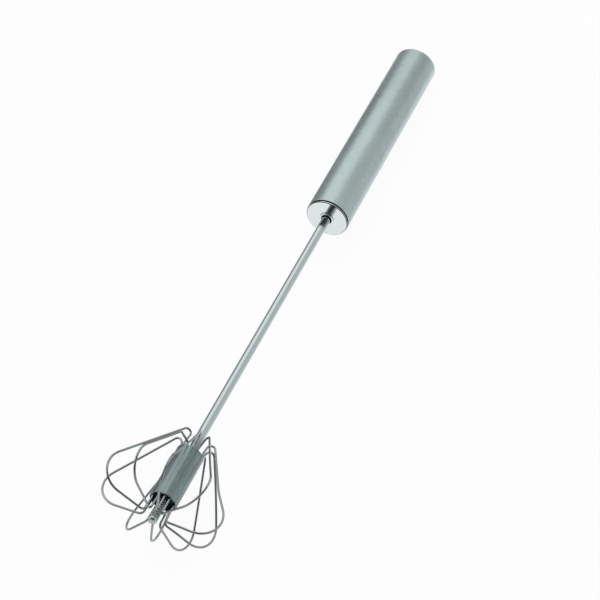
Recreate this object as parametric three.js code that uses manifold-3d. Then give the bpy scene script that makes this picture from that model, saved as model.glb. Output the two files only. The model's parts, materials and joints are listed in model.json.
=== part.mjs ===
// Rotary push whisk: pushing the handle drives a nut along a twisted strip, which spins the wire head.
// Sizes are in millimetres. The whisk is built upright, tip at the origin, then laid down as it rests.
import * as THREE from 'three';
import { mergeVertices } from 'three/addons/utils/BufferGeometryUtils.js';
import Module from 'manifold-3d';

const wasm = await Module();
wasm.setup();

// Clearances
const SEAT_GAP = 0.3; // between pieces that are pressed or seated together
const RUNNING_GAP = 0.3; // round the stem in its bush and round the strip in its slot
const GROOVE_GAP = 0.2; // round a wire in its groove

// Handle
const HANDLE_DIAMETER = 25;
const HANDLE_LENGTH = 141; // face of the end cap to the palm end
const SHELL_WALL = 0.6;
const SHELL_EDGE_RADIUS = 0.5;
const EXPOSED_LENGTH = 225.8; // tip to the face of the end cap, with the stem fully out

// End cap and the soft washer on its boss
const CAP_FLANGE_THICKNESS = 0.7;
const CAP_FLANGE_INSET = 0.3; // how far the flange stays inside the outline of the shell
const CAP_BEVEL_WIDTH = 1.1; // bevel round the face, across the face
const CAP_BEVEL_HEIGHT = 0.5; // same bevel, along the axis
const CAP_SEAM = 0.5; // open seam between the flange and the shell
const CAP_FLOOR = 2.5;
const CAP_PLUG_LENGTH = 9;
const CAP_PLUG_WALL = 1.2;
const CAP_BOSS_LENGTH = 14;
const CAP_BOSS_WALL = 1.4;
const STOP_WASHER_THICKNESS = 2;

// Stem and its bush
const STEM_DIAMETER = 5;
const STEM_WALL = 0.6;
const BUSH_WALL = 0.8;
const BUSH_FLANGE_RIM = 0.6;
const BUSH_FLANGE_THICKNESS = 0.45;
const BUSH_MOUTH_WIDTH = 0.4; // bevel at the mouth of the bore, across the face
const BUSH_MOUTH_DEPTH = 0.8; // same bevel, along the axis

// Push drive
const STROKE = 60; // how far the stem can be pushed into the handle
const STRIP_LEAD = 25; // length of strip for one turn of its twist
const STRIP_THICKNESS = 0.8;
const STRIP_HOLD = 12; // straight end held in the anchor
const STRIP_ENGAGEMENT = 6; // length of strip below the web of the nut, with the stem fully out
const NUT_LENGTH = 12;
const NUT_WALL = 1.8;
const NUT_WEB = 2; // slotted end of the nut
const THRUST_WASHER_THICKNESS = 1.2;
const SPRING_WASHER_THICKNESS = 0.8;
const WASHER_RIM = 0.8; // how far the washers stand out round the spring
const ANCHOR_LENGTH = 14;
const POST_WALL = 2.2;
const PIN_DIAMETER = 1.2;
const PIN_INSET = 2; // how far each end of the pin lies below the side of the anchor

// Return spring
const SPRING_WIRE = 0.9;
const SPRING_GUIDE_GAP = 0.8; // between the post and the coils
const SPRING_TURNS = 15;
const SPRING_END_GAP = 0.6; // between the wires of each closed end turn

// Hub
const HUB_HEIGHT = 13.5; // tip to the lower mouth of the sleeve
const SLEEVE_DIAMETER = 14.8;
const SLEEVE_LENGTH = 32;
const SLEEVE_WALL = 0.8;
const SLEEVE_EDGE_RADIUS = 0.3;
const CORE_RECESS = 3; // depth of the mouth below the core
const CORE_TOP_RECESS = 1.5;
const SPIGOT_SEAT = 2; // how far the spigot reaches into the core before it steps down
const SPIGOT_PIN_LENGTH = 12;
const SPIGOT_NOSE_RADIUS = 1.4;

// Wire loops: corner points of the common outline, then how each loop was bent by hand
const WIRE_DIAMETER = 1.2;
const SHANK_LENGTH = 10; // length of each wire end inside the sleeve
const MOUTH_RUN = 2.1; // straight wire outside each mouth of the sleeve
const NECK_RADIUS = 15;
const APEX_REACH = 8.85; // corner above the sleeve, from the axis
const APEX_RISE = 10.8; // same corner, above the top of the sleeve
const APEX_RADIUS = 2.2;
const SAG_RADIUS = 40; // bend in the middle of an upper leg that sags
const BULGE_REACH = 42.1; // corner of the wide bend, from the axis
const BULGE_DROP = 9.95; // same corner, below the lower mouth
const BULGE_RADIUS = 11.8;
const FOOT_REACH = 6.25; // corner below the sleeve, from the axis
const FOOT_DROP = 10.5; // same corner, below the lower mouth
const FOOT_RADIUS = 2.2;
const FOOT_NECK_RADIUS = 6;
// Degrees round the axis at the shank and further round at the bulge, then millimetres: slide moves the
// apex outwards along the upper leg, reach moves the wide bend outwards, sag bends the upper leg inwards.
const LOOPS = [
  { azimuth: 8, lean: 9.5, slide: 0, reach: -0.6, sag: 0 },
  { azimuth: 45.5, lean: 1, slide: 1.3, reach: -1.6, sag: 0 },
  { azimuth: 79, lean: -1, slide: 0, reach: -4.8, sag: 0 },
  { azimuth: 110, lean: -1, slide: 0, reach: -0.2, sag: 0 },
  { azimuth: 156.5, lean: 1, slide: 1.2, reach: 0, sag: 0 },
  { azimuth: 193, lean: 0, slide: -9, reach: 1.4, sag: 0 },
  { azimuth: 234, lean: -2.4, slide: 12, reach: 3.4, sag: 0 },
  { azimuth: 265, lean: -7, slide: -1.4, reach: 1.2, sag: 0 },
  { azimuth: 292.5, lean: 3.5, slide: 0.5, reach: 2.6, sag: 0 },
  { azimuth: 340, lean: 7, slide: -4.2, reach: 0.1, sag: 2.4 },
];
const REST_LOOPS = [1, 2]; // neighbours that carry the head on the table

// Facets
const HANDLE_SIDES = 48;
const HUB_SIDES = 40;
const STEM_SIDES = 24;
const GROOVE_SIDES = 12;
const WIRE_SIDES = 6;
const SPRING_SIDES = 5;
const SPRING_STEPS = 8; // sections in one turn
const STRIP_STEPS = 36; // sections in one turn of the twist
const BEND_STEP = THREE.MathUtils.degToRad(20); // turn between two sections of a bend
const LEG_STEP = 10; // longest straight run between two sections of a wire
const EDGE_DIVISIONS = 2; // a rounded edge gets twice as many steps
const WELD = 1e-4;

// Radii
const HANDLE_RADIUS = HANDLE_DIAMETER / 2;
const SHELL_BORE_RADIUS = HANDLE_RADIUS - SHELL_WALL;
const STEM_RADIUS = STEM_DIAMETER / 2;
const STEM_BORE_RADIUS = STEM_RADIUS - STEM_WALL;
const BUSH_BORE_RADIUS = STEM_RADIUS + RUNNING_GAP;
const BUSH_RADIUS = BUSH_BORE_RADIUS + BUSH_WALL;
const CAP_BORE_RADIUS = BUSH_RADIUS + SEAT_GAP;
const CAP_BOSS_RADIUS = CAP_BORE_RADIUS + CAP_BOSS_WALL;
const STRIP_REACH = STEM_BORE_RADIUS - RUNNING_GAP; // axis to the corner of the strip
const STRIP_WIDTH = 2 * Math.sqrt(STRIP_REACH ** 2 - (STRIP_THICKNESS / 2) ** 2);
const NUT_BORE_RADIUS = STEM_RADIUS + SEAT_GAP;
const NUT_RADIUS = NUT_BORE_RADIUS + NUT_WALL;
const POST_RADIUS = STEM_BORE_RADIUS + POST_WALL;
const SPRING_RADIUS = POST_RADIUS + SPRING_GUIDE_GAP + SPRING_WIRE / 2; // axis to the middle of the wire
const WASHER_RADIUS = SPRING_RADIUS + SPRING_WIRE / 2 + WASHER_RIM;
const ANCHOR_RADIUS = SHELL_BORE_RADIUS - SEAT_GAP;
const PIN_HOLE_RADIUS = PIN_DIAMETER / 2 + SEAT_GAP;
const SLEEVE_RADIUS = SLEEVE_DIAMETER / 2;
const SLEEVE_BORE_RADIUS = SLEEVE_RADIUS - SLEEVE_WALL;
const WIRE_RADIUS = WIRE_DIAMETER / 2;
const SHANK_RADIUS = SLEEVE_BORE_RADIUS - GROOVE_GAP - WIRE_RADIUS; // axis to each wire in the hub

// Heights above the tip
const SLEEVE_TOP = HUB_HEIGHT + SLEEVE_LENGTH;
const CORE_LOW = HUB_HEIGHT + CORE_RECESS;
const CORE_TOP = SLEEVE_TOP - CORE_TOP_RECESS;
const SPIGOT_SHOULDER = CORE_LOW + SPIGOT_SEAT;
const STEM_LOW = SPIGOT_SHOULDER + SEAT_GAP;
const CAP_FACE = EXPOSED_LENGTH;
const SHELL_LOW = CAP_FACE + CAP_FLANGE_THICKNESS + CAP_SEAM;
const CAP_BOSS_TOP = CAP_FACE + CAP_BOSS_LENGTH;
const STOP_WASHER_LOW = CAP_BOSS_TOP + SEAT_GAP;
const NUT_LOW = STOP_WASHER_LOW + STOP_WASHER_THICKNESS + SEAT_GAP;
const NUT_TOP = NUT_LOW + NUT_LENGTH;
const NUT_WEB_LOW = NUT_TOP - NUT_WEB;
const STEM_TOP = NUT_WEB_LOW - SEAT_GAP;
const THRUST_WASHER_LOW = NUT_TOP + SEAT_GAP;
const SPRING_LOW = THRUST_WASHER_LOW + THRUST_WASHER_THICKNESS + SEAT_GAP;
const PALM_END = CAP_FACE + HANDLE_LENGTH;
const ANCHOR_TOP = PALM_END - SHELL_WALL - SEAT_GAP;
const ANCHOR_LOW = ANCHOR_TOP - ANCHOR_LENGTH;
const POST_LOW = SPRING_LOW + STROKE;
const SPRING_WASHER_LOW = ANCHOR_LOW - SEAT_GAP - SPRING_WASHER_THICKNESS;
const SPRING_TOP = SPRING_WASHER_LOW - SEAT_GAP;
const STRIP_LOW = NUT_WEB_LOW - STRIP_ENGAGEMENT;
const TWIST_TOP = ANCHOR_TOP - STRIP_HOLD;
const PIN_HEIGHT = (ANCHOR_TOP + TWIST_TOP) / 2;

// Materials
function metal(color, roughness) {
  return new THREE.MeshStandardMaterial({ color, roughness, metalness: 1 });
}

function plastic(color, roughness) {
  return new THREE.MeshStandardMaterial({ color, roughness, metalness: 0 });
}

const brushedSteel = metal(0xa9b6b5, 0.38);
const polishedSteel = metal(0xdde3e2, 0.08);
const satinSteel = metal(0x93a09f, 0.42);
const wireSteel = metal(0xb4bcbb, 0.2);
const springSteel = metal(0x8d9192, 0.35);
const brass = metal(0xc2a45c, 0.35);
const blackPlastic = plastic(0x101212, 0.5);
const whitePlastic = plastic(0xd9d8d2, 0.55);
const softRubber = plastic(0x3a3c3c, 0.8);

// A turned piece: an outline of radius and height, spun round the axis
function turned(outline, sides) {
  return new THREE.LatheGeometry(outline.getPoints(EDGE_DIVISIONS), sides).rotateX(Math.PI / 2);
}

// A turned ring of plain section
function ring(inner, outer, low, high, sides) {
  const outline = new THREE.Path();
  outline.moveTo(inner, low);
  outline.lineTo(outer, low);
  outline.lineTo(outer, high);
  outline.lineTo(inner, high);
  outline.closePath();
  return turned(outline, sides);
}

// A round rod along the axis
function rod(radius, low, high, sides) {
  const cylinder = new THREE.CylinderGeometry(radius, radius, high - low, sides);
  return cylinder.rotateX(Math.PI / 2).translate(0, 0, (low + high) / 2);
}

// A closed geometry as a solid that can be cut
function solid(geometry) {
  const bare = geometry.clone();
  bare.deleteAttribute('normal');
  bare.deleteAttribute('uv');
  const welded = mergeVertices(bare, WELD);
  const vertProperties = welded.attributes.position.array;
  const triVerts = Uint32Array.from(welded.index.array);
  return new wasm.Manifold(new wasm.Mesh({ numProp: 3, vertProperties, triVerts }));
}

// One geometry with others cut out of it
function cut(body, tools) {
  const left = tools.reduce((rest, tool) => rest.subtract(solid(tool)), solid(body));
  const mesh = left.getMesh();
  const geometry = new THREE.BufferGeometry();
  geometry.setAttribute('position', new THREE.BufferAttribute(mesh.vertProperties, 3));
  geometry.setIndex(new THREE.BufferAttribute(mesh.triVerts, 1));
  geometry.computeVertexNormals();
  return geometry;
}

// A wire through a list of points, with one section at each of them
class BentWire extends THREE.Curve {
  constructor(stations) {
    super();
    this.stations = stations;
  }

  getPoint(t, target = new THREE.Vector3()) {
    const place = t * (this.stations.length - 1);
    const before = Math.min(Math.floor(place), this.stations.length - 2);
    return target.lerpVectors(this.stations[before], this.stations[before + 1], place - before);
  }

  getPointAt(u, target) {
    return this.getPoint(u, target);
  }

  getTangentAt(u, target) {
    return this.getTangent(u, target);
  }
}

function wire(stations, radius, sides) {
  const section = new THREE.Shape();
  for (let side = 0; side < sides; side += 1) {
    const angle = (2 * Math.PI * side) / sides;
    const corner = [radius * Math.cos(angle), radius * Math.sin(angle)];
    if (side === 0) {
      section.moveTo(...corner);
    } else {
      section.lineTo(...corner);
    }
  }
  section.closePath();
  const extrudePath = new BentWire(stations);
  return new THREE.ExtrudeGeometry(section, { steps: stations.length - 1, extrudePath });
}

// Handle shell: a drawn cup with its closed end in the palm
function handleShell() {
  const boreEdge = Math.max(SHELL_EDGE_RADIUS - SHELL_WALL, SHELL_WALL / 4);
  const boreTop = PALM_END - SHELL_WALL;
  const outline = new THREE.Path();
  outline.moveTo(0, boreTop);
  outline.lineTo(SHELL_BORE_RADIUS - boreEdge, boreTop);
  outline.absarc(SHELL_BORE_RADIUS - boreEdge, boreTop - boreEdge, boreEdge, Math.PI / 2, 0, true);
  outline.lineTo(SHELL_BORE_RADIUS, SHELL_LOW);
  outline.lineTo(HANDLE_RADIUS, SHELL_LOW);
  outline.lineTo(HANDLE_RADIUS, PALM_END - SHELL_EDGE_RADIUS);
  const edgeRadius = HANDLE_RADIUS - SHELL_EDGE_RADIUS;
  outline.absarc(edgeRadius, PALM_END - SHELL_EDGE_RADIUS, SHELL_EDGE_RADIUS, 0, Math.PI / 2, false);
  outline.lineTo(0, PALM_END);
  return turned(outline, HANDLE_SIDES);
}

// End cap: a flanged plug with a boss that carries the bush
function endCap() {
  const flange = HANDLE_RADIUS - CAP_FLANGE_INSET;
  const plug = SHELL_BORE_RADIUS - SEAT_GAP;
  const floor = CAP_FACE + CAP_FLOOR;
  const plugTop = CAP_FACE + CAP_PLUG_LENGTH;
  const flangeTop = CAP_FACE + CAP_FLANGE_THICKNESS;
  const outline = new THREE.Path();
  outline.moveTo(CAP_BORE_RADIUS, CAP_FACE);
  outline.lineTo(flange - CAP_BEVEL_WIDTH, CAP_FACE);
  outline.lineTo(flange, CAP_FACE + CAP_BEVEL_HEIGHT);
  outline.lineTo(flange, flangeTop);
  outline.lineTo(plug, flangeTop);
  outline.lineTo(plug, plugTop);
  outline.lineTo(plug - CAP_PLUG_WALL, plugTop);
  outline.lineTo(plug - CAP_PLUG_WALL, floor);
  outline.lineTo(CAP_BOSS_RADIUS, floor);
  outline.lineTo(CAP_BOSS_RADIUS, CAP_BOSS_TOP);
  outline.lineTo(CAP_BORE_RADIUS, CAP_BOSS_TOP);
  outline.closePath();
  return turned(outline, HANDLE_SIDES);
}

// Stem bush: a flanged sleeve in the boss of the cap
function stemBush() {
  const flangeTop = CAP_FACE - SEAT_GAP;
  const flangeLow = flangeTop - BUSH_FLANGE_THICKNESS;
  const flangeRadius = BUSH_RADIUS + BUSH_FLANGE_RIM;
  const outline = new THREE.Path();
  outline.moveTo(BUSH_BORE_RADIUS, flangeLow + BUSH_MOUTH_DEPTH);
  outline.lineTo(BUSH_BORE_RADIUS + BUSH_MOUTH_WIDTH, flangeLow);
  outline.lineTo(flangeRadius, flangeLow);
  outline.lineTo(flangeRadius, flangeTop);
  outline.lineTo(BUSH_RADIUS, flangeTop);
  outline.lineTo(BUSH_RADIUS, CAP_BOSS_TOP);
  outline.lineTo(BUSH_BORE_RADIUS, CAP_BOSS_TOP);
  outline.closePath();
  return turned(outline, HUB_SIDES);
}

function stopWasher() {
  const top = STOP_WASHER_LOW + STOP_WASHER_THICKNESS;
  return ring(BUSH_BORE_RADIUS, CAP_BOSS_RADIUS, STOP_WASHER_LOW, top, STEM_SIDES);
}

// A flat strip twisted below its straight end
function twistedStrip(width, thickness, low, high) {
  const steps = Math.ceil(((high - low) / STRIP_LEAD) * STRIP_STEPS);
  const strip = new THREE.BoxGeometry(width, thickness, high - low, 1, 1, steps);
  strip.translate(0, 0, (low + high) / 2);
  const position = strip.attributes.position;
  const corner = new THREE.Vector3();
  const axis = new THREE.Vector3(0, 0, 1);
  for (let i = 0; i < position.count; i += 1) {
    corner.fromBufferAttribute(position, i);
    const turns = Math.min(0, corner.z - TWIST_TOP) / STRIP_LEAD;
    corner.applyAxisAngle(axis, 2 * Math.PI * turns);
    position.setXYZ(i, corner.x, corner.y, corner.z);
  }
  return strip;
}

// A rod across the axis, at the height of the anchor pin
function crossRod(radius, length) {
  const cylinder = new THREE.CylinderGeometry(radius, radius, length, GROOVE_SIDES);
  return cylinder.translate(0, 0, PIN_HEIGHT);
}

function driveStrip() {
  const strip = twistedStrip(STRIP_WIDTH, STRIP_THICKNESS, STRIP_LOW, ANCHOR_TOP);
  return cut(strip, [crossRod(PIN_HOLE_RADIUS, HANDLE_DIAMETER)]);
}

function anchorPin() {
  return crossRod(PIN_DIAMETER / 2, 2 * (ANCHOR_RADIUS - PIN_INSET));
}

// Spindle anchor: a plug in the closed end, with a hollow post that guides the spring and ends the stroke
function spindleAnchor() {
  const outline = new THREE.Path();
  outline.moveTo(STEM_BORE_RADIUS, POST_LOW);
  outline.lineTo(POST_RADIUS, POST_LOW);
  outline.lineTo(POST_RADIUS, ANCHOR_LOW);
  outline.lineTo(ANCHOR_RADIUS, ANCHOR_LOW);
  outline.lineTo(ANCHOR_RADIUS, ANCHOR_TOP - SHELL_EDGE_RADIUS);
  outline.lineTo(ANCHOR_RADIUS - SHELL_EDGE_RADIUS, ANCHOR_TOP);
  outline.lineTo(STEM_BORE_RADIUS, ANCHOR_TOP);
  outline.closePath();
  return cut(turned(outline, STEM_SIDES), [crossRod(PIN_HOLE_RADIUS, HANDLE_DIAMETER)]);
}

// Drive nut: seated on the stem, with a helical slot for the strip in its web
function driveNut() {
  const body = rod(NUT_RADIUS, NUT_LOW, NUT_TOP, STEM_SIDES);
  const bore = rod(NUT_BORE_RADIUS, NUT_LOW - NUT_WEB, NUT_WEB_LOW, STEM_SIDES);
  const slotWidth = STRIP_WIDTH + 2 * RUNNING_GAP;
  const slotThickness = STRIP_THICKNESS + 2 * RUNNING_GAP;
  const slot = twistedStrip(slotWidth, slotThickness, NUT_WEB_LOW - NUT_WEB, NUT_TOP + NUT_WEB);
  return cut(body, [bore, slot]);
}

function thrustWasher() {
  const top = THRUST_WASHER_LOW + THRUST_WASHER_THICKNESS;
  return ring(STEM_BORE_RADIUS, WASHER_RADIUS, THRUST_WASHER_LOW, top, STEM_SIDES);
}

function springWasher() {
  const top = SPRING_WASHER_LOW + SPRING_WASHER_THICKNESS;
  return ring(POST_RADIUS + SEAT_GAP, WASHER_RADIUS, SPRING_WASHER_LOW, top, STEM_SIDES);
}

// Points along the spring, with one closed turn at each end
function springStations() {
  const low = SPRING_LOW + SPRING_WIRE / 2;
  const high = SPRING_TOP - SPRING_WIRE / 2;
  const endRise = SPRING_WIRE + SPRING_END_GAP;
  const pitch = (high - low - 2 * endRise) / (SPRING_TURNS - 2);
  const stations = [];
  for (let i = 0; i <= SPRING_TURNS * SPRING_STEPS; i += 1) {
    const turn = i / SPRING_STEPS;
    const closedTurns = Math.min(turn, 1) + Math.max(turn - (SPRING_TURNS - 1), 0);
    const height = low + closedTurns * endRise + (turn - closedTurns) * pitch;
    const angle = 2 * Math.PI * turn;
    const across = SPRING_RADIUS * Math.cos(angle);
    const along = SPRING_RADIUS * Math.sin(angle);
    stations.push(new THREE.Vector3(across, along, height));
  }
  return stations;
}

// Least clear distance between two turns of a coil
function leastCoilGap(stations, stepsPerTurn, diameter) {
  let least = Infinity;
  for (let i = 0; i < stations.length; i += 1) {
    for (let j = i + stepsPerTurn / 2; j < stations.length; j += 1) {
      least = Math.min(least, stations[i].distanceTo(stations[j]));
    }
  }
  return least - diameter;
}

function returnSpring() {
  const stations = springStations();
  const gap = leastCoilGap(stations, SPRING_STEPS, SPRING_WIRE);
  console.log(`return_spring: least gap to itself ${gap.toFixed(2)} mm`);
  return wire(stations, SPRING_WIRE / 2, SPRING_SIDES);
}

function stemTube() {
  return ring(STEM_BORE_RADIUS, STEM_RADIUS, STEM_LOW, STEM_TOP, STEM_SIDES);
}

// Hub sleeve: a plain tube with eased edges
function hubSleeve() {
  const edge = SLEEVE_EDGE_RADIUS;
  const outline = new THREE.Path();
  outline.moveTo(SLEEVE_BORE_RADIUS, HUB_HEIGHT);
  outline.lineTo(SLEEVE_RADIUS - edge, HUB_HEIGHT);
  outline.absarc(SLEEVE_RADIUS - edge, HUB_HEIGHT + edge, edge, -Math.PI / 2, 0, false);
  outline.lineTo(SLEEVE_RADIUS, SLEEVE_TOP - edge);
  outline.absarc(SLEEVE_RADIUS - edge, SLEEVE_TOP - edge, edge, 0, Math.PI / 2, false);
  outline.lineTo(SLEEVE_BORE_RADIUS, SLEEVE_TOP);
  outline.closePath();
  return turned(outline, HUB_SIDES);
}

// Hub core: fills the sleeve round the stem, with a groove for each wire
function hubCore() {
  const body = ring(STEM_RADIUS + SEAT_GAP, SLEEVE_BORE_RADIUS - SEAT_GAP, CORE_LOW, CORE_TOP, HUB_SIDES);
  const grooves = LOOPS.map(({ azimuth }) => {
    const angle = THREE.MathUtils.degToRad(azimuth);
    const groove = rod(WIRE_RADIUS + GROOVE_GAP, HUB_HEIGHT, SLEEVE_TOP, GROOVE_SIDES);
    return groove.translate(SHANK_RADIUS * Math.cos(angle), SHANK_RADIUS * Math.sin(angle), 0);
  });
  return cut(body, grooves);
}

// Knurled spigot: the end of the shaft, with a smooth nose and a pin in the bore of the stem
function knurledSpigot() {
  const pinRadius = STEM_BORE_RADIUS - SEAT_GAP;
  const nose = SPIGOT_NOSE_RADIUS;
  const outline = new THREE.Path();
  outline.moveTo(0, 0);
  outline.lineTo(STEM_RADIUS - nose, 0);
  outline.absarc(STEM_RADIUS - nose, nose, nose, -Math.PI / 2, 0, false);
  outline.lineTo(STEM_RADIUS, SPIGOT_SHOULDER);
  outline.lineTo(pinRadius, SPIGOT_SHOULDER);
  outline.lineTo(pinRadius, SPIGOT_SHOULDER + SPIGOT_PIN_LENGTH);
  outline.lineTo(0, SPIGOT_SHOULDER + SPIGOT_PIN_LENGTH);
  return turned(outline, STEM_SIDES);
}

// Points along an outline that is rounded at each corner; a bend never outgrows its legs or its room
function roundedOutline(corners) {
  const legs = corners.slice(1).map((corner, i) => corner.at.clone().sub(corners[i].at));
  const halves = legs.slice(1).map((leg, i) => Math.abs(leg.angleTo(legs[i])) / 2);
  const wanted = corners.map(({ radius = 0, room = Infinity }, i) => {
    return Math.min(radius * Math.tan(halves[i - 1] ?? 0), room);
  });
  const points = [corners[0].at];
  for (let i = 1; i < corners.length - 1; i += 1) {
    const before = legs[i - 1].length() / (wanted[i - 1] + wanted[i]);
    const after = legs[i].length() / (wanted[i] + wanted[i + 1]);
    const reach = wanted[i] * Math.min(1, before, after);
    const radius = reach / Math.tan(halves[i - 1]);
    const side = Math.sign(legs[i - 1].cross(legs[i]));
    const entry = legs[i - 1].clone().normalize();
    const start = corners[i].at.clone().addScaledVector(entry, -reach);
    const centre = new THREE.Vector2(-entry.y, entry.x).multiplyScalar(side * radius).add(start);
    const turn = 2 * halves[i - 1];
    const steps = Math.max(2, Math.ceil(turn / BEND_STEP));
    for (let k = 0; k <= steps; k += 1) {
      points.push(start.clone().rotateAround(centre, (side * turn * k) / steps));
    }
  }
  points.push(corners.at(-1).at);
  return points;
}

// The same points with more along the long straight legs
function withLegPoints(points) {
  const dense = [points[0]];
  for (let i = 1; i < points.length; i += 1) {
    const steps = Math.max(1, Math.ceil(points[i].distanceTo(points[i - 1]) / LEG_STEP));
    for (let k = 1; k <= steps; k += 1) {
      dense.push(points[i - 1].clone().lerp(points[i], k / steps));
    }
  }
  return dense;
}

// Outline of one loop as radius and height, from its upper end in the sleeve round to its lower end
function loopOutline({ slide, reach, sag }) {
  const apex = new THREE.Vector2(APEX_REACH, SLEEVE_TOP + APEX_RISE);
  const bulge = new THREE.Vector2(BULGE_REACH + reach, HUB_HEIGHT - BULGE_DROP);
  const foot = new THREE.Vector2(FOOT_REACH, HUB_HEIGHT - FOOT_DROP);
  const neck = new THREE.Vector2(SHANK_RADIUS, SLEEVE_TOP + MOUTH_RUN);
  const footNeck = new THREE.Vector2(SHANK_RADIUS, HUB_HEIGHT - MOUTH_RUN);
  const upperLeg = bulge.clone().sub(apex).normalize();
  apex.addScaledVector(upperLeg, slide);
  const inwards = new THREE.Vector2(upperLeg.y, -upperLeg.x);
  const middle = apex.clone().lerp(bulge, 0.5).addScaledVector(inwards, sag);
  const corners = [
    { at: new THREE.Vector2(SHANK_RADIUS, SLEEVE_TOP - SHANK_LENGTH) },
    { at: neck, radius: NECK_RADIUS, room: MOUTH_RUN },
    { at: apex, radius: APEX_RADIUS },
    ...(sag ? [{ at: middle, radius: SAG_RADIUS }] : []),
    { at: bulge, radius: BULGE_RADIUS },
    { at: foot, radius: FOOT_RADIUS },
    { at: footNeck, radius: FOOT_NECK_RADIUS, room: MOUTH_RUN },
    { at: new THREE.Vector2(SHANK_RADIUS, HUB_HEIGHT + SHANK_LENGTH) },
  ];
  return withLegPoints(roundedOutline(corners));
}

// The outline stood round the axis; a loop leans further round the wider it gets
function loopStations(loop) {
  const outline = loopOutline(loop);
  const widest = Math.max(...outline.map((point) => point.x));
  return outline.map((point) => {
    const share = (point.x - SHANK_RADIUS) / (widest - SHANK_RADIUS);
    const angle = THREE.MathUtils.degToRad(loop.azimuth + loop.lean * Math.max(0, share));
    return new THREE.Vector3(point.x * Math.cos(angle), point.x * Math.sin(angle), point.y);
  });
}

// Upright whisk
const whisk = new THREE.Group();

function add(name, geometry, material) {
  const mesh = new THREE.Mesh(geometry, material);
  mesh.name = name;
  whisk.add(mesh);
  return mesh;
}

const shell = add('handle_shell', handleShell(), brushedSteel);
add('end_cap', endCap(), polishedSteel);
add('stem_bush', stemBush(), polishedSteel);
add('stop_washer', stopWasher(), softRubber);
add('spindle_anchor', spindleAnchor(), whitePlastic);
add('anchor_pin', anchorPin(), springSteel);
add('drive_strip', driveStrip(), springSteel);
add('spring_washer', springWasher(), springSteel);
add('return_spring', returnSpring(), springSteel);
add('thrust_washer', thrustWasher(), whitePlastic);
add('drive_nut', driveNut(), brass);
add('stem_tube', stemTube(), polishedSteel);
add('hub_sleeve', hubSleeve(), satinSteel);
add('hub_core', hubCore(), blackPlastic);
add('knurled_spigot', knurledSpigot(), satinSteel);
const loops = LOOPS.map((loop, i) => {
  const name = `wire_loop_${String(i + 1).padStart(2, '0')}`;
  return add(name, wire(loopStations(loop), WIRE_RADIUS, WIRE_SIDES), wireSteel);
});

// The point of a loop that lies furthest from the axis
function widestPoint(loop) {
  const distance = (point) => Math.hypot(point.x, point.y);
  return loopStations(loop).reduce((best, point) => (distance(point) > distance(best) ? point : best));
}

// Azimuth that faces the table when two neighbouring loops both touch it
function restAzimuth() {
  const [first, second] = REST_LOOPS.map((i) => widestPoint(LOOPS[i]));
  return Math.atan2(first.x - second.x, second.y - first.y);
}

// The vertex that reaches furthest towards the table, as distance along the axis and drop from it
function lowestVertex(meshes, azimuth, tilt) {
  let lowest = null;
  let most = -Infinity;
  for (const mesh of meshes) {
    const position = mesh.geometry.attributes.position;
    for (let i = 0; i < position.count; i += 1) {
      const drop = position.getX(i) * Math.cos(azimuth) + position.getY(i) * Math.sin(azimuth);
      const along = position.getZ(i);
      const depth = along * Math.sin(tilt) + drop * Math.cos(tilt);
      if (depth > most) {
        most = depth;
        lowest = { along, drop };
      }
    }
  }
  return lowest;
}

// Slope of the axis with the head up on its loops and the handle down on its rim
function restTilt(azimuth) {
  let tilt = 0;
  for (let pass = 0; pass < 5; pass += 1) {
    const head = lowestVertex(loops, azimuth, tilt);
    const rim = lowestVertex([shell], azimuth, tilt);
    tilt = Math.atan2(head.drop - rim.drop, rim.along - head.along);
  }
  return tilt;
}

// Lay the whisk along Y with its head towards -Y, then centre it on the table
const azimuth = restAzimuth();
whisk.rotation.z = Math.PI / 2 - azimuth;
const laid = new THREE.Group();
laid.rotation.x = -Math.PI / 2 - restTilt(azimuth);
laid.add(whisk);
laid.updateMatrixWorld(true);
const box = new THREE.Box3().setFromObject(laid, true);
const middle = box.getCenter(new THREE.Vector3());
const part = new THREE.Group();
part.position.set(-middle.x, -middle.y, -box.min.z);
part.add(laid);

export default part;
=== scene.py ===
"""Looks of the rotary push whisk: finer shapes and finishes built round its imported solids."""

import json
import math

import bmesh
import bpy
from mathutils import Matrix, Vector


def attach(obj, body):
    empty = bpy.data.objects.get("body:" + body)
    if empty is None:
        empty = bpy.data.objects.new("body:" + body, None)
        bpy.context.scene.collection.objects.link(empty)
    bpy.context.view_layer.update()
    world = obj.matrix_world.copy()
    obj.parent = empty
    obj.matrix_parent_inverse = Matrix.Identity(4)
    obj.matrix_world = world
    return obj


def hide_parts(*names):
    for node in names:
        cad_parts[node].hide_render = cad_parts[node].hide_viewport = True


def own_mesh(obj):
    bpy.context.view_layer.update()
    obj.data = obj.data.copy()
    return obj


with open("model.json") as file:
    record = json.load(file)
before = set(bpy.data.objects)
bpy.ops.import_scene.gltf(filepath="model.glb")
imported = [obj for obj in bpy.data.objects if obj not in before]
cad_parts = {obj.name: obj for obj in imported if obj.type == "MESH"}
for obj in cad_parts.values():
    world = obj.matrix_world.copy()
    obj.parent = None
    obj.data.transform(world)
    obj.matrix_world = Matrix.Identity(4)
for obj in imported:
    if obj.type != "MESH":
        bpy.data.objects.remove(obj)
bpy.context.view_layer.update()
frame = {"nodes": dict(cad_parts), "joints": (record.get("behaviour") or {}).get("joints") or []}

# Sizes of the solids, in millimetres, with heights along the axis from the tip
SEAT_GAP = 0.3
RUNNING_GAP = 0.3
GROOVE_GAP = 0.2

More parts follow.
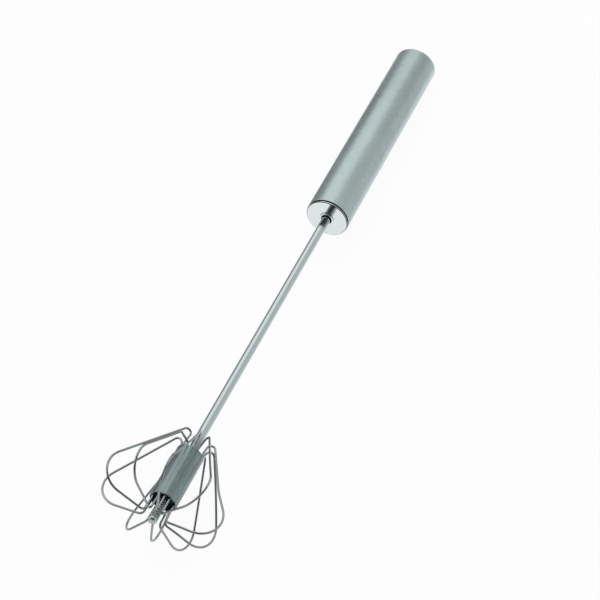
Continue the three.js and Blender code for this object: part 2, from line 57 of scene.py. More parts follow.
HANDLE_RADIUS = 12.5
HANDLE_LENGTH = 141
SHELL_WALL = 0.6
SHELL_EDGE_RADIUS = 0.5
CAP_FACE = 225.8
CAP_FLANGE_THICKNESS = 0.7
CAP_FLANGE_INSET = 0.3
CAP_SEAM = 0.5
CAP_FLOOR = 2.5
CAP_PLUG_LENGTH = 9
CAP_PLUG_WALL = 1.2
CAP_BOSS_LENGTH = 14
CAP_BOSS_WALL = 1.4

STEM_RADIUS = 2.5
STEM_WALL = 0.6
STEM_TOP = 252.1
BUSH_WALL = 0.8
BUSH_FLANGE_RIM = 0.6
BUSH_FLANGE_THICKNESS = 0.45
BUSH_MOUTH_WIDTH = 0.4
BUSH_MOUTH_DEPTH = 0.8

SPRING_LOW = 256.2
SPRING_TOP = 350.5
SPRING_WIRE = 0.9
SPRING_TURNS = 15
SPRING_END_GAP = 0.6
POST_WALL = 2.2
SPRING_GUIDE_GAP = 0.8

HUB_HEIGHT = 13.5
SLEEVE_RADIUS = 7.4
SLEEVE_LENGTH = 32
SLEEVE_WALL = 0.8
SLEEVE_EDGE_RADIUS = 0.3
SPIGOT_SHOULDER = 18.5
SPIGOT_PIN_LENGTH = 12
SPIGOT_NOSE_RADIUS = 1.4

WIRE_RADIUS = 0.6
SHANK_LENGTH = 10
MOUTH_RUN = 2.1
NECK_RADIUS = 15
# Corners of a loop by radius and height: the apex from the top of the sleeve, the others from its mouth
APEX = (8.85, 10.8)
APEX_RADIUS = 2.2
SAG_RADIUS = 40
BULGE = (42.1, -9.95)
BULGE_RADIUS = 11.8
FOOT = (6.25, -10.5)
FOOT_RADIUS = 2.2
FOOT_NECK_RADIUS = 6
# Azimuth and lean in degrees, then slide of the apex, reach of the wide bend and sag of the upper leg
LOOPS = [
    (8, 9.5, 0, -0.6, 0),
    (45.5, 1, 1.3, -1.6, 0),
    (79, -1, 0, -4.8, 0),
    (110, -1, 0, -0.2, 0),
    (156.5, 1, 1.2, 0, 0),
    (193, 0, -9, 1.4, 0),
    (234, -2.4, 12, 3.4, 0),
    (265, -7, -1.4, 1.2, 0),
    (292.5, 3.5, 0.5, 2.6, 0),
    (340, 7, -4.2, 0.1, 2.4),
]
ROLL = 0.3537228  # turn of the head about its axis in radians, as it rests on two loops

# Finer edges: the rim of the shell stands back a little, and the flange of the bush closes the gap under it
CAP_EDGE_RADIUS = 0.35
CAP_PAINTED_DARK_EDGE = 0.32  # how far the painted dark reflection on the edge's arc reaches in over the face
SHELL_RIM_EASE = 0.4
BUSH_FLANGE_EASE = 0.4
BUSH_FLANGE_FIT = 0.02

# Diamond knurl on the spigot
KNURL_LOW = 2.3
KNURL_HIGH = 17.1
KNURL_RUN_OUT = 0.5
KNURL_DEPTH = 0.25
KNURL_CELLS = 11
KNURL_PITCH = 1.5
KNURL_FLAT = 1.5  # how soon a diamond reaches its flat top

# Facets of the finer shapes
TURNED_SIDES = 128
STEM_SIDES = 64
KNURL_SIDES = KNURL_CELLS * 8
KNURL_ROW = 0.16
WIRE_SIDES = 14
SPRING_SIDES = 10
SPRING_STEPS = 32
ARC_STEP = math.radians(6)
ARC_LEAST_STEPS = 3
LEG_STEP = 4
SHARP_ANGLE = math.radians(35)
POLE_RADIUS = 1e-6  # a point of an outline with a smaller radius lies on the axis
PICK_SLACK = 0.01  # for faces that are picked by their height

# Derived sizes
MM = 0.001
PALM_END = CAP_FACE + HANDLE_LENGTH
SHELL_BORE = HANDLE_RADIUS - SHELL_WALL
SHELL_LIP = SHELL_WALL / 4
STEM_BORE = STEM_RADIUS - STEM_WALL
STEM_LIP = STEM_WALL / 3
BUSH_BORE = STEM_RADIUS + RUNNING_GAP
BUSH_RADIUS = BUSH_BORE + BUSH_WALL
CAP_BORE = BUSH_RADIUS + SEAT_GAP
CAP_BOSS_TOP = CAP_FACE + CAP_BOSS_LENGTH
SLEEVE_TOP = HUB_HEIGHT + SLEEVE_LENGTH
SLEEVE_BORE = SLEEVE_RADIUS - SLEEVE_WALL
SHANK_RADIUS = SLEEVE_BORE - GROOVE_GAP - WIRE_RADIUS
SPRING_RADIUS = STEM_BORE + POST_WALL + SPRING_GUIDE_GAP + SPRING_WIRE / 2

# Finishes: noise scales per metre, depths of relief and heights of the painted shade in millimetres
MIDDLE_LOW = 0.3  # between these two lies the useful part of a noise
MIDDLE_HIGH = 0.7
NOISE_DETAIL = 3
METAL_RELIEF = 0.35
GRAIN_DETAIL = 4
SMUDGE_SCALE = 45
SMUDGE_STRETCH = (1, 1, 0.5)
SMUDGE_DETAIL = 2
KNURL_GRAIN_SCALE = 700
KNURL_GRAIN_DEPTH = 0.02
MOULD_RELIEF = 0.4
MOULD_CLOUD_SCALE = 60
MOULD_SPREAD = 0.15
WIRE_SHADE_FULL = 6  # painted shade: up to here above the sleeve the stem's colour is darkened, standing for the reflections of the wires that crowd round it and the light they block
WIRE_SHADE_END = 13
WIRE_SHADE_SHARE = 0.55

# Directions of grain, as noise frequencies across, across and along the axis
ROUND_GRAIN = (1, 1, 3.5)
LONG_GRAIN = (60, 60, 1)
SATIN_GRAIN = (60, 60, 6)
EVEN_GRAIN = (1, 1, 1)

# Studio, in metres
FLOOR_HALF = 4
FLOOR_WHITE = 0.9
FLOOR_ROUGHNESS = 0.9
FLOOR_GLOW = 0.93
WORLD_LIGHT = 0.6
LEFT = -1.5
RIGHT = 2.0
FRONT = -1.4
FAR = 4
CLOTH_HEIGHT = 0.0005
LOW_FOOT = 0.002
HIGH_FOOT = 0.05
ROOF_HEIGHT = 2.2
ROOF_RIGHT = 1.4
FRONT_SPLIT = (0.3, 0.7)  # x and height where the cards in front change
RIGHT_SPLIT = 0.5  # y where the cards on a side change
LEFT_SPLIT = 0.7
CLOTH_SPLIT = -0.13
RIGHT_TOP = (0.35, 1.96)
RIGHT_MIDDLE = (1.25, 0.918)
RIGHT_FOOT = (RIGHT, HIGH_FOOT)
LEFT_FOOT = (LEFT, LOW_FOOT)
RIGHT_HEM = (0.03, CLOTH_HEIGHT)
LEFT_HEM = (-0.035, CLOTH_HEIGHT)
RIGHT_END = (RIGHT, CLOTH_HEIGHT)
LEFT_END = (LEFT, CLOTH_HEIGHT)
# Cards along the part: one (x, z) edge, the other, from y to y, brightness
CARDS = (
    ("grey_card", RIGHT_TOP, RIGHT_FOOT, (RIGHT_SPLIT, FAR), 0.6),
    ("grey_side", RIGHT_MIDDLE, RIGHT_FOOT, (FRONT, RIGHT_SPLIT), 0.43),
    ("grey_cloth", RIGHT_HEM, RIGHT_END, (CLOTH_SPLIT, FAR), 0.65),
    ("grey_head_cloth", RIGHT_HEM, RIGHT_END, (-FAR, CLOTH_SPLIT), 0.75),
    ("right_flag", RIGHT_TOP, RIGHT_MIDDLE, (FRONT, RIGHT_SPLIT), 0.08),
    ("dark_card", (-1.34, 0.75), LEFT_FOOT, (LEFT_SPLIT, FAR), 0.3),
    ("left_flag", (-1.468, 0.15), LEFT_FOOT, (-0.45, LEFT_SPLIT), 0.03),
    ("dark_cloth", LEFT_HEM, LEFT_END, (CLOTH_SPLIT, FAR), 0.29),
    ("dark_head_cloth", LEFT_HEM, LEFT_END, (-FAR, CLOTH_SPLIT), 0.42),
    ("head_cloth", LEFT_HEM, RIGHT_HEM, (-0.5, -0.14), 0.72),
    ("roof", (-0.8, ROOF_HEIGHT), (ROOF_RIGHT, ROOF_HEIGHT), (FRONT, 0.1), 0.03),
)
# Upright cards across the part: y, one (x, z) corner, the opposite one, brightness
UPRIGHT_CARDS = (
    ("front_low", FRONT, (-FAR, HIGH_FOOT), FRONT_SPLIT, 0.5),
    ("front_side", FRONT, (FRONT_SPLIT[0], HIGH_FOOT), (FAR, FRONT_SPLIT[1]), 0.32),
    ("front_high", FRONT, (-1.8, FRONT_SPLIT[1]), (ROOF_RIGHT, ROOF_HEIGHT), 0.05),
    ("back_low", 1.6, (-1.0, LOW_FOOT), (1.1, 0.8), 0.38),
)
# Lamps: place, size, power in watts
LAMPS = (
    ("overhead", (-0.3, 0.4, 1.6), 1.4, 9),
    ("front", (0.9, -1.2, 1.3), 0.9, 4),
)

# Camera of the photograph, in metres, with the lens and the sensor in millimetres
AIM = Vector((0.003174, -0.003219, -0.0000385))
DISTANCE = 1.089636
AZIMUTH = math.radians(24.8405)
ELEVATION = math.radians(49.8076)
TILT = math.radians(-2.7393)
LENS = 118.52
SENSOR = 36


def whisk_matrix():
    """Places the upright whisk, tip at the origin, where the solids lie."""
    spin = next(joint for joint in frame["joints"] if joint["name"] == "whisk_spin")
    along = Vector(spin["axis"]).normalized()
    across = Vector((1, 0, 0))
    lay = Matrix((across, along.cross(across), along)).transposed().to_4x4()
    return Matrix.Translation(spin["pos_m"]) @ lay @ Matrix.Rotation(ROLL, 4, "Z")


WHISK = whisk_matrix()


def rounded(corners):
    """Points along a line of corners (x, y, radius, room), each turned into an arc that fits its legs."""
    places = [Vector(corner[:2]) for corner in corners]
    legs = [b - a for a, b in zip(places, places[1:])]
    halves = [0] + [abs(b.angle(a)) / 2 for a, b in zip(legs, legs[1:])] + [0]
    wanted = []
    for half, corner in zip(halves, corners):
        radius = corner[2] if len(corner) > 2 else 0
        room = corner[3] if len(corner) > 3 else math.inf
        wanted.append(min(radius * math.tan(half), room))
    points = [places[0]]
    for i in range(1, len(places) - 1):
        if wanted[i] == 0:
            points.append(places[i])
            continue
        before = legs[i - 1].length / (wanted[i - 1] + wanted[i])
        after = legs[i].length / (wanted[i] + wanted[i + 1])
        reach = wanted[i] * min(1, before, after)
        radius = reach / math.tan(halves[i])
        turn = math.copysign(2 * halves[i], legs[i - 1].cross(legs[i]))
        entry = legs[i - 1].normalized()
        start = places[i] - entry * reach
        centre = start + Vector((-entry.y, entry.x)) * math.copysign(radius, turn)
        steps = max(ARC_LEAST_STEPS, math.ceil(abs(turn) / ARC_STEP))
        for k in range(steps + 1):
            points.append(centre + Matrix.Rotation(turn * k / steps, 2) @ (start - centre))
    points.append(places[-1])
    return points


def piece(name, mesh, body, material, slot, *nodes):
    """Puts a mesh of the upright whisk in place of CAD nodes, on their body."""
    obj = bpy.data.objects.new(name, mesh)
    bpy.context.scene.collection.objects.link(obj)
    obj.data.materials.append(material)
    obj.matrix_world = WHISK
    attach(obj, body)
    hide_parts(*nodes)
    return obj


def shaded(name, bm):
    """Turns a bmesh in millimetres into a smooth-shaded mesh in metres."""
    bmesh.ops.scale(bm, vec=(MM, MM, MM), verts=bm.verts)
    bmesh.ops.recalc_face_normals(bm, faces=bm.faces)
    mesh = bpy.data.meshes.new(name)
    bm.to_mesh(mesh)
    bm.free()
    mesh.shade_smooth()
    mesh.set_sharp_from_angle(angle=SHARP_ANGLE)
    return mesh


def skin(bm, rows, closed):
    """Fills the faces between rows of vertices; a row of one vertex is a pole."""
    pairs = list(zip(rows, rows[1:]))
    if closed:
        pairs.append((rows[-1], rows[0]))
    for low, high in pairs:
        count = max(len(low), len(high))
        for j in range(count):
            k = (j + 1) % count
            ring = [low[j % len(low)], low[k % len(low)], high[k % len(high)], high[j % len(high)]]
            bm.faces.new(list(dict.fromkeys(ring)))


def turned(name, outline, sides=TURNED_SIDES, relief=None, closed=True):
    """A turned mesh from (radius, height) points; relief cuts into the radius by angle and height."""
    bm = bmesh.new()
    rows = []
    for radius, height in outline:
        if radius < POLE_RADIUS:
            rows.append([bm.verts.new((0, 0, height))])
            continue
        row = []
        for j in range(sides):
            angle = 2 * math.pi * j / sides
            reach = radius - relief(angle, height) if relief else radius
            row.append(bm.verts.new((reach * math.cos(angle), reach * math.sin(angle), height)))
        rows.append(row)
    skin(bm, rows, closed)
    return shaded(name, bm)


def tube(name, points, radius, sides):
    """A round wire along points, with flat ends."""
    bm = bmesh.new()
    rows = []
    side = None
    for i, point in enumerate(points):
        ahead = points[min(i + 1, len(points) - 1)] - points[max(i - 1, 0)]
        ahead.normalize()
        side = ahead.orthogonal() if side is None else side
        side = (side - ahead * side.dot(ahead)).normalized()
        other = ahead.cross(side)
        row = []
        for j in range(sides):
            angle = 2 * math.pi * j / sides
            row.append(bm.verts.new(point + (side * math.cos(angle) + other * math.sin(angle)) * radius))
        rows.append(row)
    skin(bm, rows, False)
    bm.faces.new(rows[0])
    bm.faces.new(rows[-1])
    return shaded(name, bm)


class Finish:
    """A material made of nodes round one shader."""

    def __init__(self, name):
        self.material = bpy.data.materials.new(name)
        self.material.use_nodes = True
        self.tree = self.material.node_tree
        self.shader = self.tree.nodes["Principled BSDF"]

    def feed(self, node, inputs):
        """Sets or links the inputs of a node."""
        for socket, value in inputs.items():
            if isinstance(value, bpy.types.NodeSocket):
                self.tree.links.new(value, node.inputs[socket])
            else:
                node.inputs[socket].default_value = value

    def put(self, kind, inputs, **settings):
        """Adds a node."""
        node = self.tree.nodes.new(kind)
        for setting, value in settings.items():
            setattr(node, setting, value)
        self.feed(node, inputs)
        return node

    def place(self):
        """Place on the piece, in its own metres."""
        return self.put("ShaderNodeTexCoord", {}).outputs["Object"]

    def noise(self, scale, stretch=EVEN_GRAIN, detail=NOISE_DETAIL):
        """Noise, drawn out where stretch is small."""
        drawn = self.put("ShaderNodeMapping", {"Vector": self.place(), "Scale": stretch}).outputs["Vector"]
        return self.put("ShaderNodeTexNoise", {"Vector": drawn, "Scale": scale, "Detail": detail}).outputs[0]

    def mapped(self, value, start, end, low, high, **settings):
        """Goes from low to high as a value goes from start to end."""
        inputs = {"Value": value, "From Min": start, "From Max": end, "To Min": low, "To Max": high}
        return self.put("ShaderNodeMapRange", inputs, **settings).outputs[0]

    def ranged(self, value, low, high):
        """Spreads the middle of a value from 0 to 1 over low to high."""
        return self.mapped(value, MIDDLE_LOW, MIDDLE_HIGH, low, high)

    def tones(self, value, first, last):
        """Colours from first to last over the middle of a value from 0 to 1."""
        ramp = self.put("ShaderNodeValToRGB", {"Fac": value})
        ends = ramp.color_ramp.elements
        ends[0].position = MIDDLE_LOW
        ends[0].color = (*first, 1)
        ends[1].position = MIDDLE_HIGH
        ends[1].color = (*last, 1)
        return ramp.outputs["Color"]

    def painted_shade(self, colour, low, high, share):
        """Painted shade: darkens a colour to a share of itself up to the height low, fading out at the
        height high.
        """
        height = self.put("ShaderNodeSeparateXYZ", {"Vector": self.place()}).outputs["Z"]
        shade = self.mapped(height, low * MM, high * MM, share, 1, interpolation_type="SMOOTHSTEP")
        inputs = {"Vector": colour, "Scale": shade}
        return self.put("ShaderNodeVectorMath", inputs, operation="SCALE").outputs[0]

    def bump(self, height, strength, depth):
        """Relief from a height, with its depth in millimetres."""
        inputs = {"Height": height, "Strength": strength, "Distance": depth * MM}
        return self.put("ShaderNodeBump", inputs).outputs["Normal"]


def shades(colour, spread):
    """A darker and a lighter shade of a colour."""
    return [tuple(channel * factor for channel in colour) for factor in (1 - spread, 1 + spread)]


def metal(name, colour, spread, roughness, grain, scale, depth, anisotropic=0, painted_shade_band=None):
    """Metal with drawn-out grain in its colour, roughness and relief, faint larger smudges, and, if given, a
    band of painted shade in its colour.
    """
    finish = Finish(name)
    lines = finish.noise(scale, grain, GRAIN_DETAIL)
    smudge = finish.noise(SMUDGE_SCALE, SMUDGE_STRETCH, SMUDGE_DETAIL)
    both = finish.put("ShaderNodeMath", {0: lines, 1: smudge}, operation="ADD").outputs[0]
    mean = finish.put("ShaderNodeMath", {0: both, 1: 0.5}, operation="MULTIPLY").outputs[0]
    shade = finish.tones(mean, *shades(colour, spread))
    finish.feed(finish.shader, {
        "Base Color": finish.painted_shade(shade, *painted_shade_band) if painted_shade_band else shade,
        "Metallic": 1,
        "Roughness": finish.ranged(mean, *roughness),
        "Normal": finish.bump(lines, METAL_RELIEF, depth),
        "Anisotropic": anisotropic,
    })
    return finish.material


def knurled_metal(name, colour, groove_shade_colour, roughness):
    """Metal with painted shade that darkens down its grooves, by the share of their depth that the mesh
    holds.
    """
    finish = Finish(name)
    grain = finish.noise(KNURL_GRAIN_SCALE)
    depth = finish.put("ShaderNodeAttribute", {}, attribute_name="groove").outputs["Fac"]
    finish.feed(finish.shader, {
        "Base Color": finish.tones(depth, colour, groove_shade_colour),
        "Metallic": 1,
        "Roughness": finish.ranged(grain, *roughness),
        "Normal": finish.bump(grain, METAL_RELIEF, KNURL_GRAIN_DEPTH),
    })
    return finish.material


def moulded(name, colour, roughness, scale=900, depth=0.03):
    """Moulded plastic or rubber with a fine surface texture."""
    finish = Finish(name)
    texture = finish.noise(scale)
    cloud = finish.noise(MOULD_CLOUD_SCALE)
    finish.feed(finish.shader, {
        "Base Color": finish.tones(cloud, *shades(colour, MOULD_SPREAD)),
        "Roughness": finish.ranged(texture, *roughness),
        "Normal": finish.bump(texture, MOULD_RELIEF, depth),
    })
    return finish.material


shell_steel = metal(
    "brushed_shell_steel", colour=(0.52, 0.622, 0.62), spread=0.15, roughness=(0.3, 0.4),
    grain=ROUND_GRAIN, scale=260, depth=0.03, anisotropic=0.3,
)
cap_steel = metal(
    "mirror_cap_steel", colour=(0.72, 0.79, 0.785), spread=0.02, roughness=(0.05, 0.1),
    grain=LONG_GRAIN, scale=12, depth=0.002,
)
# the stem's colour carries painted shade above the sleeve, for the wires' reflections and the light they
# block
stem_steel = metal(
    "polished_stem_steel", colour=(0.6, 0.695, 0.69), spread=0.04, roughness=(0.1, 0.16),
    grain=LONG_GRAIN, scale=25, depth=0.004,
    painted_shade_band=(SLEEVE_TOP + WIRE_SHADE_FULL, SLEEVE_TOP + WIRE_SHADE_END, WIRE_SHADE_SHARE),
)
sleeve_steel = metal(
    "satin_sleeve_steel", colour=(0.285, 0.36, 0.36), spread=0.3, roughness=(0.26, 0.34),
    grain=SATIN_GRAIN, scale=25, depth=0.01,
)
# the darker groove colour of the knurl is painted shade
spigot_steel = knurled_metal(
    "knurled_steel", colour=(0.54, 0.62, 0.61), groove_shade_colour=(0.3, 0.345, 0.34), roughness=(0.2, 0.3),
)
wire_steel = metal(
    "drawn_wire_steel", colour=(0.37, 0.42, 0.417), spread=0.1, roughness=(0.04, 0.08),
    grain=EVEN_GRAIN, scale=260, depth=0.006,
)
spring_steel = metal(
    "spring_wire_steel", colour=(0.3, 0.31, 0.32), spread=0.12, roughness=(0.25, 0.4),
    grain=EVEN_GRAIN, scale=300, depth=0.01,
)
nut_brass = metal(
    "turned_brass", colour=(0.55, 0.38, 0.12), spread=0.08, roughness=(0.25, 0.38),
    grain=ROUND_GRAIN, scale=300, depth=0.01,
)
# painted shade and painted reflection: a black that stands for the shade in the cap's seam and the bush's
# mouth, and for the dark reflection on the cap's edge
shade_and_reflection_black = moulded("painted_shade_and_reflection", colour=(0.006, 0.007, 0.007), roughness=(0.6, 0.7))
black_plastic = moulded("black_core_plastic", colour=(0.012, 0.013, 0.013), roughness=(0.4, 0.55))
white_plastic = moulded("white_drive_plastic", colour=(0.62, 0.61, 0.58), roughness=(0.45, 0.6))
soft_rubber = moulded(
    "stop_rubber", colour=(0.04, 0.042, 0.042), roughness=(0.7, 0.85), scale=500, depth=0.06,
)


def handle_shell():
    low = CAP_FACE + CAP_FLANGE_THICKNESS + CAP_SEAM + SHELL_RIM_EASE
    outline = rounded([
        (0, PALM_END - SHELL_WALL),
        (SHELL_BORE, PALM_END - SHELL_WALL, max(SHELL_EDGE_RADIUS - SHELL_WALL, SHELL_LIP)),
        (SHELL_BORE, low, SHELL_LIP),
        (HANDLE_RADIUS, low, SHELL_LIP),
        (HANDLE_RADIUS, PALM_END, SHELL_EDGE_RADIUS),
        (0, PALM_END),
    ])
    mesh = turned("shell", outline, closed=False)
    piece("shell", mesh, "handle", shell_steel, "brushed_shell", "handle_shell")


def paint_shade_and_reflection(obj, is_painted_dark):
    """Paints the faces picked by the radius and height of their middle with a black second finish, as
    painted shade and painted dark reflection.
    """
    obj.data.materials.append(shade_and_reflection_black)
    for face in obj.data.polygons:
        x, y, height = face.center / MM
        if is_painted_dark(math.hypot(x, y), height):
            face.material_index = 1


def end_cap():
    flange = HANDLE_RADIUS - CAP_FLANGE_INSET
    flange_top = CAP_FACE + CAP_FLANGE_THICKNESS
    plug = SHELL_BORE - SEAT_GAP
    boss = CAP_BORE + CAP_BOSS_WALL
    face_middle = (CAP_BORE + flange) / 2
    outline = rounded([
        (face_middle, CAP_FACE),
        (flange, CAP_FACE, CAP_EDGE_RADIUS),
        (flange, flange_top),
        (plug, flange_top),
        (plug, CAP_FACE + CAP_PLUG_LENGTH),
        (plug - CAP_PLUG_WALL, CAP_FACE + CAP_PLUG_LENGTH),
        (plug - CAP_PLUG_WALL, CAP_FACE + CAP_FLOOR),
        (boss, CAP_FACE + CAP_FLOOR),
        (boss, CAP_BOSS_TOP),
        (CAP_BORE, CAP_BOSS_TOP),
        (CAP_BORE, CAP_FACE),
    ])

    # painted shade in the seam's gap, and a painted dark reflection on the outer part of the edge's arc
    def is_painted_dark(radius, height):
        in_seam = height > flange_top - PICK_SLACK
        on_edge = radius > flange - CAP_PAINTED_DARK_EDGE and height < CAP_FACE + CAP_EDGE_RADIUS
        return in_seam or on_edge

    cap = piece("cap", turned("cap", outline), "handle", cap_steel, "polished_steel", "end_cap")
    paint_shade_and_reflection(cap, is_painted_dark)


def stem_bush():
    face = CAP_FACE - SEAT_GAP - BUSH_FLANGE_THICKNESS
    top = CAP_FACE - BUSH_FLANGE_FIT
    rim = BUSH_RADIUS + BUSH_FLANGE_RIM
    outline = rounded([
        (BUSH_BORE, CAP_BOSS_TOP),
        (BUSH_BORE, face + BUSH_MOUTH_DEPTH),
        (BUSH_BORE + BUSH_MOUTH_WIDTH, face, BUSH_FLANGE_EASE),
        (rim, face, BUSH_FLANGE_EASE),
        (rim, top),
        (BUSH_RADIUS, top),
        (BUSH_RADIUS, CAP_BOSS_TOP),
    ])
    bush = piece("bush", turned("bush", outline), "handle", cap_steel, "polished_steel", "stem_bush")
    # painted shade in the mouth and bore of the bush, round the stem
    paint_shade_and_reflection(bush, lambda radius, height: radius < BUSH_BORE + BUSH_MOUTH_WIDTH)


def stem_tube():
    low = SPIGOT_SHOULDER + SEAT_GAP
    outline = rounded([
        (STEM_BORE, (low + STEM_TOP) / 2),
        (STEM_BORE, low),
        (STEM_RADIUS, low, STEM_LIP),
        (STEM_RADIUS, STEM_TOP, STEM_LIP),
        (STEM_BORE, STEM_TOP),
    ])
    mesh = turned("stem", outline, STEM_SIDES)
    piece("stem", mesh, "whisk", stem_steel, "polished_steel", "stem_tube")


def hub_sleeve():
    outline = rounded([
        (SLEEVE_BORE, (HUB_HEIGHT + SLEEVE_TOP) / 2),
        (SLEEVE_BORE, HUB_HEIGHT),
        (SLEEVE_RADIUS, HUB_HEIGHT, SLEEVE_EDGE_RADIUS),
        (SLEEVE_RADIUS, SLEEVE_TOP, SLEEVE_EDGE_RADIUS),
        (SLEEVE_BORE, SLEEVE_TOP),
    ])
    piece("sleeve", turned("sleeve", outline), "whisk", sleeve_steel, "satin_steel", "hub_sleeve")


def wave(turns):
    """Height of a groove's side, from 0 in the groove to 1 on the ridge."""
    return abs(2 * (turns % 1) - 1)


def knurl(angle, height):
    """Depth of the crossed grooves, which run out at both ends."""
    run_out = min(height - KNURL_LOW, KNURL_HIGH - height) / KNURL_RUN_OUT
    share = max(0, min(1, run_out))
    around = KNURL_CELLS * angle / (2 * math.pi)
    along = height / KNURL_PITCH
    ridge = min(wave(around + along), wave(around - along), 1 / KNURL_FLAT)
    return share * KNURL_DEPTH * (1 - KNURL_FLAT * ridge)


def knurled_spigot():
    pin = STEM_BORE - SEAT_GAP
    pin_top = SPIGOT_SHOULDER + SPIGOT_PIN_LENGTH
    outline = rounded([(0, 0), (STEM_RADIUS, 0, SPIGOT_NOSE_RADIUS), (STEM_RADIUS, KNURL_LOW)])
    rows = math.ceil((KNURL_HIGH - KNURL_LOW) / KNURL_ROW)
    for i in range(1, rows + 1):
        outline.append((STEM_RADIUS, KNURL_LOW + (KNURL_HIGH - KNURL_LOW) * i / rows))
    outline += [
        (STEM_RADIUS, SPIGOT_SHOULDER),
        (pin, SPIGOT_SHOULDER),
        (pin, pin_top),
        (0, pin_top),
    ]
    mesh = turned("spigot", outline, KNURL_SIDES, relief=knurl, closed=False)
    groove = mesh.attributes.new("groove", "FLOAT", "POINT")
    for vertex, share in zip(mesh.vertices, groove.data):
        x, y, height = vertex.co / MM
        share.value = knurl(math.atan2(y, x), height) / KNURL_DEPTH
    piece("spigot", mesh, "whisk", spigot_steel, "satin_steel", "knurled_spigot")


def loop_points(azimuth, lean, slide, reach, sag):
    """Centre line of one loop, from its upper end in the sleeve round to its lower end."""
    apex = Vector((APEX[0], SLEEVE_TOP + APEX[1]))
    bulge = Vector((BULGE[0] + reach, HUB_HEIGHT + BULGE[1]))
    leg = (bulge - apex).normalized()
    apex += leg * slide
    middle = apex.lerp(bulge, 0.5) + Vector((leg.y, -leg.x)) * sag
    outline = rounded([
        (SHANK_RADIUS, SLEEVE_TOP - SHANK_LENGTH),
        (SHANK_RADIUS, SLEEVE_TOP + MOUTH_RUN, NECK_RADIUS, MOUTH_RUN),
        (*apex, APEX_RADIUS),
        (*middle, SAG_RADIUS if sag else 0),
        (*bulge, BULGE_RADIUS),
        (FOOT[0], HUB_HEIGHT + FOOT[1], FOOT_RADIUS),
        (SHANK_RADIUS, HUB_HEIGHT - MOUTH_RUN, FOOT_NECK_RADIUS, MOUTH_RUN),
        (SHANK_RADIUS, HUB_HEIGHT + SHANK_LENGTH),
    ])
    dense = [outline[0]]
    for a, b in zip(outline, outline[1:]):
        steps = max(1, math.ceil((b - a).length / LEG_STEP))
        dense += [a.lerp(b, k / steps) for k in range(1, steps + 1)]
    widest = max(point.x for point in dense)
    points = []
    for radius, height in dense:
        share = max(0, (radius - SHANK_RADIUS) / (widest - SHANK_RADIUS))
        angle = math.radians(azimuth + lean * share)
        points.append(Vector((radius * math.cos(angle), radius * math.sin(angle), height)))
    return points


def wire_loops():
    for i, loop in enumerate(LOOPS, 1):
        name = f"loop_{i:02d}"
        mesh = tube(name, loop_points(*loop), WIRE_RADIUS, WIRE_SIDES)
        piece(name, mesh, "whisk", wire_steel, "wire_steel", f"wire_loop_{i:02d}")


def return_spring():
    low = SPRING_LOW + SPRING_WIRE / 2
    high = SPRING_TOP - SPRING_WIRE / 2
    rise = SPRING_WIRE + SPRING_END_GAP
    pitch = (high - low - 2 * rise) / (SPRING_TURNS - 2)
    points = []
    for i in range(SPRING_TURNS * SPRING_STEPS + 1):
        turn = i / SPRING_STEPS
        closed = min(turn, 1) + max(turn - (SPRING_TURNS - 1), 0)
        height = low + closed * rise + (turn - closed) * pitch
        angle = 2 * math.pi * turn
        points.append(Vector((SPRING_RADIUS * math.cos(angle), SPRING_RADIUS * math.sin(angle), height)))
    mesh = tube("spring", points, SPRING_WIRE / 2, SPRING_SIDES)
    spring = piece("spring", mesh, "handle", spring_steel, "spring_steel", "return_spring")
    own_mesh(spring)


handle_shell()
end_cap()
stem_bush()
stem_tube()
hub_sleeve()
knurled_spigot()
wire_loops()
return_spring()

# Finishes of the CAD nodes that stay
for node, material in {
    "hub_core": black_plastic,
    "stop_washer": soft_rubber,
    "spindle_anchor": white_plastic,
    "anchor_pin": spring_steel,
    "drive_strip": spring_steel,
    "spring_washer": spring_steel,
    "thrust_washer": white_plastic,
    "drive_nut": nut_brass,
}.items():
    slots = frame["nodes"][node].data.materials
    slots.clear()
    slots.append(material)


def stage_sheet(name, corners, material, reflections_only):
    """A flat sheet of the studio; a card shows only in reflections and blocks no light."""
    mesh = bpy.data.meshes.new(name)
    mesh.from_pydata(corners, [], [(0, 1, 2, 3)])
    sheet = bpy.data.objects.new(name, mesh)
    bpy.context.scene.collection.objects.link(sheet)
    mesh.materials.append(material)
    if reflections_only:
        sheet.visible_camera = False
        sheet.visible_diffuse = False
        sheet.visible_shadow = False


def seen_directly(tree):
    """1 for what the camera sees directly, in metal or through glass, and 0 for light on surfaces."""
    path = tree.nodes.new("ShaderNodeLightPath").outputs
    total = path["Is Camera Ray"]
    for name in ("Is Glossy Ray", "Is Transmission Ray"):
        larger = tree.nodes.new("ShaderNodeMath")
        larger.operation = "MAXIMUM"
        tree.links.new(total, larger.inputs[0])
        tree.links.new(path[name], larger.inputs[1])
        total = larger.outputs[0]
    return total


def floor_material():
    """Pale floor that shows white, with a share of it left for the shadow."""
    material = bpy.data.materials.new("pale_floor")
    material.use_nodes = True
    tree = material.node_tree
    paint = tree.nodes["Principled BSDF"]
    paint.inputs["Base Color"].default_value = (FLOOR_WHITE, FLOOR_WHITE, FLOOR_WHITE, 1)
    paint.inputs["Roughness"].default_value = FLOOR_ROUGHNESS
    glow = tree.nodes.new("ShaderNodeEmission")
    share = tree.nodes.new("ShaderNodeMath")
    share.operation = "MULTIPLY"
    share.inputs[1].default_value = FLOOR_GLOW
    tree.links.new(seen_directly(tree), share.inputs[0])
    mix = tree.nodes.new("ShaderNodeMixShader")
    tree.links.new(share.outputs[0], mix.inputs[0])
    tree.links.new(paint.outputs[0], mix.inputs[1])
    tree.links.new(glow.outputs[0], mix.inputs[2])
    tree.links.new(mix.outputs[0], tree.nodes["Material Output"].inputs["Surface"])
    return material


def card_material(name, level):
    """Card of one even brightness."""
    material = bpy.data.materials.new(name)
    material.use_nodes = True
    tree = material.node_tree
    tree.nodes.remove(tree.nodes["Principled BSDF"])
    glow = tree.nodes.new("ShaderNodeEmission")
    glow.inputs["Color"].default_value = (level, level, level, 1)
    tree.links.new(glow.outputs[0], tree.nodes["Material Output"].inputs["Surface"])
    return material


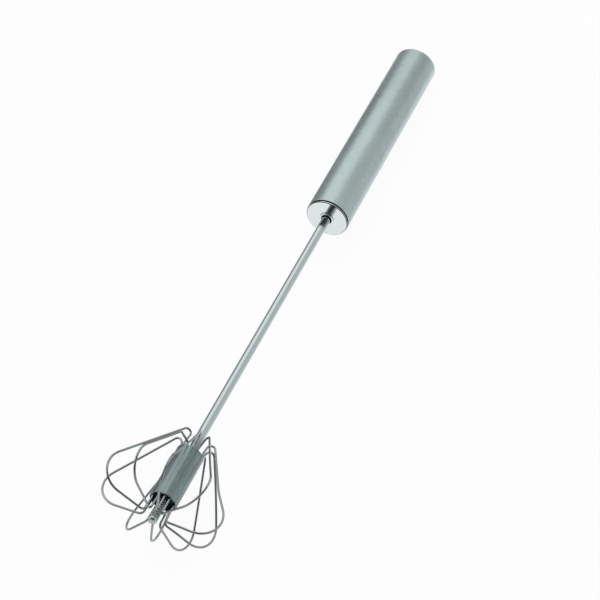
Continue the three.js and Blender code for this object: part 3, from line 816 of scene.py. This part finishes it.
def studio_world():
    """White where it is seen directly, softer as a light."""
    world = bpy.data.worlds.new("studio")
    bpy.context.scene.world = world
    world.use_nodes = True
    tree = world.node_tree
    strength = tree.nodes.new("ShaderNodeMapRange")
    strength.inputs["To Min"].default_value = WORLD_LIGHT
    strength.inputs["To Max"].default_value = 1
    tree.links.new(seen_directly(tree), strength.inputs["Value"])
    background = tree.nodes["Background"]
    background.inputs["Color"].default_value = (1, 1, 1, 1)
    tree.links.new(strength.outputs[0], background.inputs["Strength"])


def softbox(name, place, size, power):
    """Square area lamp that faces the part and doesn't show in its metal."""
    lamp = bpy.data.lights.new(name, "AREA")
    lamp.shape = "SQUARE"
    lamp.size = size
    lamp.energy = power
    obj = bpy.data.objects.new(name, lamp)
    bpy.context.scene.collection.objects.link(obj)
    obj.location = place
    obj.rotation_euler = (-Vector(place)).to_track_quat("-Z", "Y").to_euler()
    obj.visible_glossy = False


# Stage: the floor, the cards, the world and the lamps
stage_sheet(
    "floor",
    [(x * FLOOR_HALF, y * FLOOR_HALF, 0) for x, y in ((-1, -1), (1, -1), (1, 1), (-1, 1))],
    floor_material(),
    False,
)
for name, (x0, z0), (x1, z1), (y0, y1), level in CARDS:
    corners = [(x0, y0, z0), (x1, y0, z1), (x1, y1, z1), (x0, y1, z0)]
    stage_sheet(name, corners, card_material(name, level), True)
for name, y, (x0, z0), (x1, z1), level in UPRIGHT_CARDS:
    corners = [(x, y, z) for x, z in ((x0, z0), (x1, z0), (x1, z1), (x0, z1))]
    stage_sheet(name, corners, card_material(name, level), True)
studio_world()
for lamp in LAMPS:
    softbox(*lamp)

# Camera that looks at its aim from its distance
camera = bpy.data.objects.new("camera", bpy.data.cameras.new("camera"))
bpy.context.scene.collection.objects.link(camera)
turn = Matrix.Rotation(AZIMUTH, 4, "Z") @ Matrix.Rotation(math.pi / 2 - ELEVATION, 4, "X")
turn = turn @ Matrix.Rotation(TILT, 4, "Z")
camera.matrix_world = Matrix.Translation(AIM) @ turn @ Matrix.Translation((0, 0, DISTANCE))
camera.data.lens = LENS
camera.data.sensor_width = SENSOR
bpy.context.scene.camera = camera
bpy.context.scene.view_settings.view_transform = "Standard"
